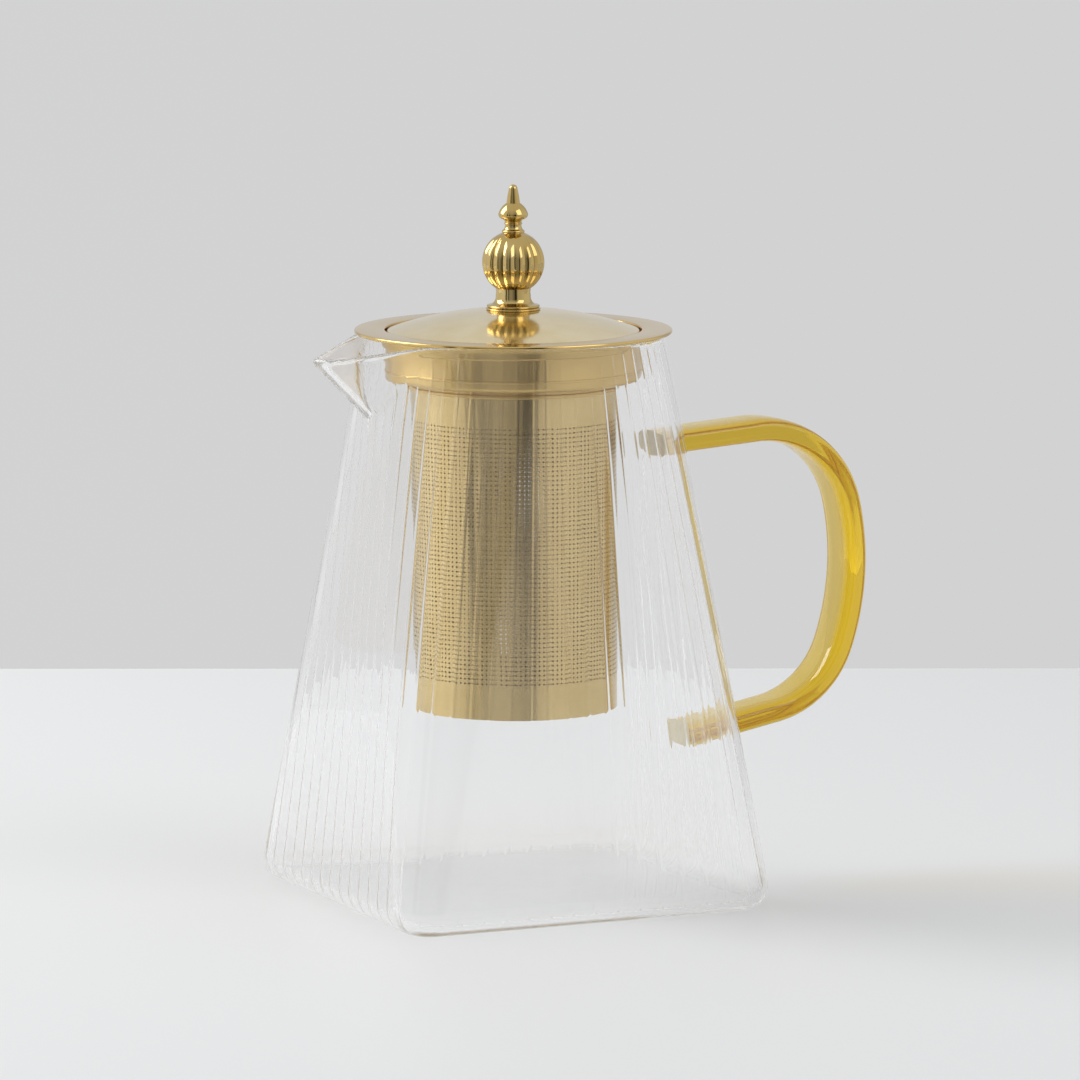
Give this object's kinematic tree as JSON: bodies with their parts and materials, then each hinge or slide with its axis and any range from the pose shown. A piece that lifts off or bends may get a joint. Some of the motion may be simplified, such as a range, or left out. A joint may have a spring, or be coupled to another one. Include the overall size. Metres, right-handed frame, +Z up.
{
  "type": "glass teapot",
  "caption": "Square-footed ribbed glass teapot with a round mouth, pulled pouring lip and amber strap handle, a lift-out basket strainer and a domed lid with a fluted finial.",
  "frame": {"origin": "middle of the flat underside, on the surface that the pot stands on", "axes": "+Z up along the axis of the round mouth, +X towards the handle, -X towards the pouring lip"},
  "size_m": [0.1607, 0.1086, 0.1917],
  "materials": {
    "clear_glass": "fire-polished, ribbed inside",
    "amber_glass": "fire-polished, coloured through",
    "gold_steel": "gold-coloured coating on brushed sheet",
    "gold_mirror": "gold-coloured coating on polished sheet",
    "gold_casting": "polished casting",
    "plain_steel": "bare stainless steel"
  },
  "bodies": {
    "pot": {"glass_body": "clear_glass", "glass_handle": "amber_glass"},
    "strainer": {"strainer_collar": "gold_steel", "strainer_wall": "gold_steel", "strainer_floor": "gold_steel"},
    "lid": {"lid_dome": "gold_mirror", "lid_skirt": "gold_steel", "finial_knob": "gold_casting", "knob_screw": "plain_steel", "knob_washer": "plain_steel"}
  },
  "joints": [
    {"name": "strainer_lift", "type": "slide", "parent": "pot", "child": "strainer", "axis": [0, 0, 1], "range_m": [0, 0.115]},
    {"name": "lid_lift", "type": "slide", "parent": "strainer", "child": "lid", "axis": [0, 0, 1], "range_m": [0, 0.06]}
  ]
}
